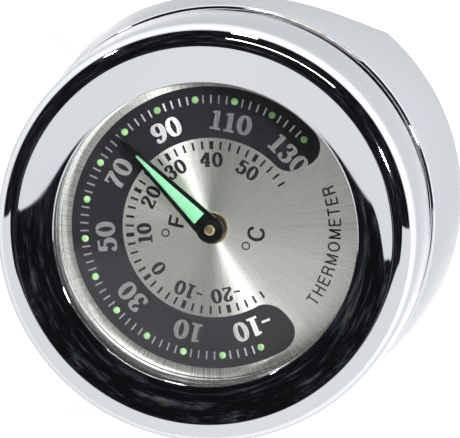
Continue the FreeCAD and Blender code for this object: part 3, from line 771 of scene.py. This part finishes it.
def make_dots():
    """Small domes of luminous paint, one at every ten degrees."""
    verts, faces = [], []
    radius, rise = 0.0275 * UNIT, 0.07 * MM
    rings, segments = 4, 20
    base = DIAL_Z + INK_LIFT
    for degrees in range(-10, 131, 10):
        middle = around(fahrenheit_angle(degrees), UNIT)
        start = len(verts)
        for ring in range(rings):
            tilt = math.pi / 2 * ring / rings
            for step in range(segments):
                edge = middle + around(2 * math.pi * step / segments, radius * math.cos(tilt))
                verts.append((edge.x, edge.y, base + rise * math.sin(tilt)))
        verts.append((middle.x, middle.y, base + rise))
        top = len(verts) - 1
        for ring in range(rings - 1):
            for step in range(segments):
                near = start + ring * segments
                following = (step + 1) % segments
                faces.append((near + step, near + following,
                              near + segments + following, near + segments + step))
        last = start + (rings - 1) * segments
        for step in range(segments):
            faces.append((last + step, last + (step + 1) % segments, top))
        faces.append(tuple(start + step for step in reversed(range(segments))))
    piece = new_piece("lume_dots", verts, faces, DOT_PAINT)
    tidy_normals(piece, 1.2)
    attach(piece, "case")


# ---------------------------------------------------------------- pointer

REST_ANGLE = fahrenheit_angle(78.5)


def make_pointer():
    """Black blade with a round boss and a window, its edges slightly broken."""
    low, high = 26.05 * MM, 26.3 * MM
    hub = [(1.22 * math.cos(math.radians(65.0 + 230.0 * step / 48)),
            1.22 * math.sin(math.radians(65.0 + 230.0 * step / 48))) for step in range(49)]
    tip = [(9.9, -0.32), (11.55, -0.02), (11.6, 0.0), (11.55, 0.02), (9.9, 0.32)]
    window = [(1.35, 0.65), (1.35, -0.65), (9.17, -0.10), (9.17, 0.10)]
    points = hub + tip + window
    first_window = len(hub) + len(tip)
    root_left, root_right, end_right, end_left = range(first_window, first_window + 4)
    last_hub, first_tip, last_tip = len(hub) - 1, len(hub), first_window - 1
    faces = [tuple(range(len(hub))) + (root_right, root_left),
             (last_hub, first_tip, end_right, root_right),
             tuple(range(first_tip, last_tip + 1)) + (end_left, end_right),
             (last_tip, 0, root_left, end_left)]
    mesh = bpy.data.meshes.new("pointer_blade")
    mesh.from_pydata([(x * MM, y * MM, high) for x, y in points], [], faces)
    mesh.update()
    piece = bpy.data.objects.new("pointer_blade", mesh)
    bpy.context.scene.collection.objects.link(piece)
    dress(piece, POINTER_BLACK)
    mesh.transform(Matrix.Rotation(REST_ANGLE, 4, "Z"))
    for polygon in mesh.polygons:
        if polygon.normal.z < 0:
            polygon.flip()
    shell = piece.modifiers.new("thickness", "SOLIDIFY")
    shell.thickness = high - low
    shell.offset = -1.0
    bevel = piece.modifiers.new("broken_edges", "BEVEL")
    bevel.width = 0.03 * MM
    bevel.segments = 2
    bevel.limit_method = "ANGLE"
    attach(piece, "pointer_set")
    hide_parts("pointer")
    boss = lathe("pointer_boss", [(0.8, 26.2)] + arc((1.08, 26.28), 0.14, 0.0, 90.0, 6)
                 + [(0.8, 26.42)], POINTER_BLACK, 96)
    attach(boss, "pointer_set")


def make_lume_insert():
    """Wedge of luminous paint with a gentle crown."""
    start, end = 1.37 * MM, 9.15 * MM
    wide, narrow = 0.63 * MM, 0.08 * MM
    low, edge, crown = 26.1 * MM, 26.27 * MM, 0.07 * MM
    rows, columns = 40, 8
    verts, faces = [], []
    turn = Matrix.Rotation(REST_ANGLE, 3, "Z")
    for row in range(rows + 1):
        part = row / rows
        x = start + (end - start) * part
        half = wide + (narrow - wide) * part
        end_fall = min(1.0, 10 * part, 6 * (1 - part)) ** 0.5
        for column in range(columns + 1):
            across = 2 * column / columns - 1
            rise = crown * (1 - across ** 2) ** 0.5 * end_fall * half / wide
            verts.append(turn @ Vector((x, half * across, edge + rise)))
    for row in range(rows):
        for column in range(columns):
            near = row * (columns + 1) + column
            faces.append((near, near + columns + 1, near + columns + 2, near + 1))
    border = ([column for column in range(columns + 1)]
              + [row * (columns + 1) + columns for row in range(1, rows + 1)]
              + [rows * (columns + 1) + column for column in reversed(range(columns))]
              + [row * (columns + 1) for row in reversed(range(1, rows))])
    below = len(verts)
    for index in border:
        verts.append((verts[index][0], verts[index][1], low))
    count = len(border)
    for index in range(count):
        following = (index + 1) % count
        faces.append((border[index], border[following], below + following, below + index))
    faces.append(tuple(below + index for index in range(count)))
    piece = new_piece("lume_wedge", verts, faces, LUME)
    tidy_normals(piece)
    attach(piece, "pointer_set")
    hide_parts("pointer_lume")


# ---------------------------------------------------------------- small turned pieces

def make_rehaut():
    """Polished silver wall between the dial and the glass."""
    profile = [(13.2, 25.1), (14.25, 25.1), (14.25, 27.65), (13.5, 27.65), (13.45, 27.6),
               (13.38, 27.0), (13.5, 26.95), (13.5, 26.7), (13.35, 26.65), (13.3, 26.15),
               (13.42, 26.1), (13.42, 25.85), (13.26, 25.8)]
    piece = lathe("dial_surround", profile, SURROUND)
    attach(piece, "case")
    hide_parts("rehaut_ring")


NODE_MATERIALS = {
    "bezel_seal": RUBBER, "lens": GLASS, "lens_gasket": RUBBER, "instrument_can": CAN_STEEL,
    "back_pad": FOAM, "can_ring": RUBBER, "dial_plate": DIAL_METAL, "dial_spacer": PLASTIC,
    "movement_plate": BRASS, "movement_pillars": BRASS, "movement_screws": SCREW_STEEL,
    "front_bush": BRASS, "rear_bush": BRASS, "spindle": BRASS, "coil_collet": BRASS,
    "bimetal_coil": BIMETAL, "coil_anchor": BRASS, "pointer_collet": POINTER_BLACK,
    "clamp_cap": CHROME, "front_bar_liner": RUBBER, "rear_bar_liner": RUBBER,
    "clamp_screw_left": SCREW_STEEL, "clamp_screw_right": SCREW_STEEL,
    "spring_washers": SCREW_STEEL,
}


# ---------------------------------------------------------------- studio

def make_floor():
    low = cad_box[0][2]
    radius = 3.0
    angles = [2 * math.pi * step / 64 for step in range(64)]
    verts = [(radius * math.cos(angle), radius * math.sin(angle), low - 0.2 * MM)
             for angle in angles]
    shader = Shader("white_floor", (0.86, 0.86, 0.86), 0.0, 0.6,
                    Emission_Color=(1.0, 1.0, 1.0, 1.0), Emission_Strength=0.56)
    grain = shader.noise(shader.position(), 8.0, 2.0)
    shader.link(shader.mix(shader.remap(grain, 0.0, 1.0), (0.85, 0.85, 0.855), (0.87, 0.87, 0.87)),
                shader.bsdf.inputs["Base Color"])
    floor = new_piece("floor", verts, [tuple(range(64))], shader.material)


def make_world():
    """Pale room on one side and dim on the other, as the polished metal shows it."""
    world = bpy.data.worlds.new("room")
    bpy.context.scene.world = world
    world.use_nodes = True
    tree = world.node_tree
    nodes, links = tree.nodes, tree.links
    background = nodes["Background"]
    place = nodes.new("ShaderNodeTexCoord")
    parts = nodes.new("ShaderNodeSeparateXYZ")
    links.new(place.outputs["Generated"], parts.inputs[0])

    def step(source, low, high, to_low, to_high):
        item = nodes.new("ShaderNodeMapRange")
        item.interpolation_type = "SMOOTHSTEP"
        item.inputs["From Min"].default_value = low
        item.inputs["From Max"].default_value = high
        item.inputs["To Min"].default_value = to_low
        item.inputs["To Max"].default_value = to_high
        links.new(source, item.inputs["Value"])
        return item.outputs["Result"]

    def join(operation, first, second):
        item = nodes.new("ShaderNodeMath")
        item.operation = operation
        links.new(first, item.inputs[0])
        links.new(second, item.inputs[1])
        return item.outputs[0]

    above = nodes.new("ShaderNodeMath")
    above.operation = "MULTIPLY_ADD"
    links.new(step(parts.outputs[2], 0.7, 0.82, 0.0, 1.0), above.inputs[0])
    above.inputs[1].default_value = 0.142
    links.new(parts.outputs[0], above.inputs[2])
    pale_side = step(above.outputs[0], -0.101, -0.087, 1.0, 0.0)
    low_band = step(parts.outputs[2], 0.03, 0.08, 1.0, 0.0)
    veil = join("MULTIPLY", step(parts.outputs[2], 0.955, 0.965, 0.0, 1.0),
                step(parts.outputs[0], -0.160, -0.155, 0.4, 0.0))
    veil = join("MULTIPLY", veil, step(parts.outputs[1], 0.09, 0.11, 0.0, 1.0))
    pale = join("MAXIMUM", join("MAXIMUM", pale_side, low_band), veil)
    clutter = nodes.new("ShaderNodeTexNoise")
    clutter.inputs["Scale"].default_value = 9.0
    clutter.inputs["Detail"].default_value = 6.0
    clutter.inputs["Roughness"].default_value = 0.75
    links.new(place.outputs["Generated"], clutter.inputs["Vector"])
    room = nodes.new("ShaderNodeValToRGB")
    links.new(clutter.outputs["Fac"], room.inputs["Fac"])
    tones = [(0.0, (0.004, 0.004, 0.005)), (0.52, (0.008, 0.008, 0.009)),
             (0.60, (0.04, 0.045, 0.06)), (0.66, (0.11, 0.10, 0.075)), (1.0, (0.5, 0.5, 0.46))]
    ramp = room.color_ramp
    while len(ramp.elements) < len(tones):
        ramp.elements.new(0.5)
    for element, (level, color) in zip(ramp.elements, tones):
        element.position = level
        element.color = (*color, 1.0)
    mix = nodes.new("ShaderNodeMix")
    mix.data_type = "RGBA"
    links.new(pale, mix.inputs["Factor"])
    links.new(room.outputs["Color"], mix.inputs[COLOR_A])
    mix.inputs[COLOR_B].default_value = (1.0, 1.0, 1.02, 1)
    rays = nodes.new("ShaderNodeLightPath")
    seen = nodes.new("ShaderNodeMix")
    seen.data_type = "RGBA"
    links.new(rays.outputs["Is Camera Ray"], seen.inputs["Factor"])
    links.new(mix.outputs[COLOR_OUT], seen.inputs[COLOR_A])
    seen.inputs[COLOR_B].default_value = (0.85, 0.85, 0.86, 1)
    links.new(seen.outputs[COLOR_OUT], background.inputs["Color"])
    background.inputs["Strength"].default_value = 1.0


def area_light(name, azimuth, elevation, distance, width, height, power, color=(1, 1, 1)):
    data = bpy.data.lights.new(name, "AREA")
    data.shape = "RECTANGLE"
    data.size = width
    data.size_y = height
    data.energy = power
    data.color = color
    light = bpy.data.objects.new(name, data)
    bpy.context.scene.collection.objects.link(light)
    flat = math.cos(math.radians(elevation))
    toward = Vector((flat * math.cos(math.radians(azimuth)), flat * math.sin(math.radians(azimuth)),
                     math.sin(math.radians(elevation))))
    light.location = Vector((0, 0, DIAL_Z)) + toward * distance
    light.rotation_euler = toward.to_track_quat("Z", "Y").to_euler()


def make_lights():
    area_light("lamp_high", -73.0, 53.0, 0.8, 0.06, 0.06, 4.0)
    area_light("strip", -18.0, 45.0, 0.8, 0.45, 0.03, 1.0, (1.0, 0.96, 0.85))
    area_light("window", -4.7, 8.0, 0.8, 0.12, 0.06, 0.8)
    area_light("lamp_low", 39.3, 13.0, 0.8, 0.05, 0.05, 0.8)


def make_camera():
    data = bpy.data.cameras.new("camera")
    data.sensor_width = 36.0
    data.lens = 391.3
    data.clip_start = 0.01
    data.clip_end = 20.0
    camera = bpy.data.objects.new("camera", data)
    bpy.context.scene.collection.objects.link(camera)
    right = Vector((-0.0020, -0.9889, -0.1485))
    up = Vector((0.9884, 0.0207, -0.1500))
    back = Vector((0.1514, -0.1471, 0.9775))
    turn = Matrix((right, up, back)).transposed()
    camera.matrix_world = Matrix.Translation((0.0673, -0.06618, 0.45482)) @ turn.to_4x4()
    bpy.context.scene.camera = camera


bpy.context.scene.view_settings.view_transform = "Standard"
make_camera()
for node, material in NODE_MATERIALS.items():
    dress(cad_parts[node], material)
make_bezel()
make_housing()
make_band()
make_fahrenheit()
make_celsius()
make_dots()
make_pointer()
make_lume_insert()
make_rehaut()
make_floor()
make_world()
make_lights()
